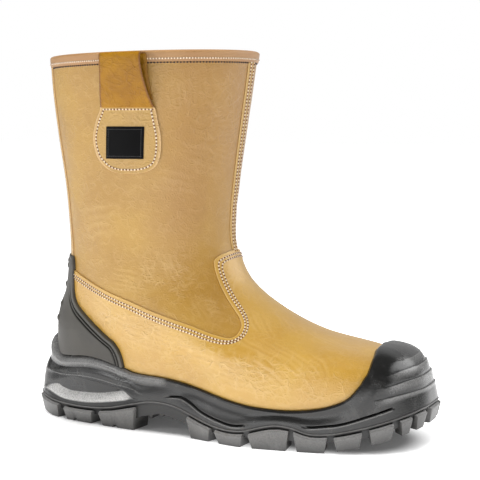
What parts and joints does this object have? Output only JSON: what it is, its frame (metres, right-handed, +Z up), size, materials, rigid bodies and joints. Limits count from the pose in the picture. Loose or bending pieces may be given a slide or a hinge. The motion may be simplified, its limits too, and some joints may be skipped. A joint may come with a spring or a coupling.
{
  "type": "rigger boot",
  "caption": "Pull-on leather work boot with a wide shaft, side pull loops, moulded heel counter, scuff cap and a lugged sole, standing on its heel and forefoot.",
  "frame": {"origin": "middle of the boot's box, on the floor that the sole stands on", "axes": "+X from heel to toe, -Y to the outer side of the right boot, +Z up"},
  "size_m": [0.3128, 0.1488, 0.2763],
  "materials": {
    "leather": "grained tan leather, soft gloss",
    "binding": "smooth tan leather",
    "strap": "creased ochre leather",
    "label": "black woven patch",
    "counter": "matt dark grey moulding",
    "midsole": "satin black moulding",
    "outsole": "satin dark grey moulding",
    "insole": "dark felt"
  },
  "bodies": {
    "root": {"upper": "leather", "collar_binding": "binding", "front_strip": "leather", "heel_counter": "counter", "pull_loop_outer": "strap", "pull_loop_inner": "strap", "label_patch": "label", "midsole": "midsole", "outsole": "outsole", "insole": "insole"}
  },
  "joints": []
}
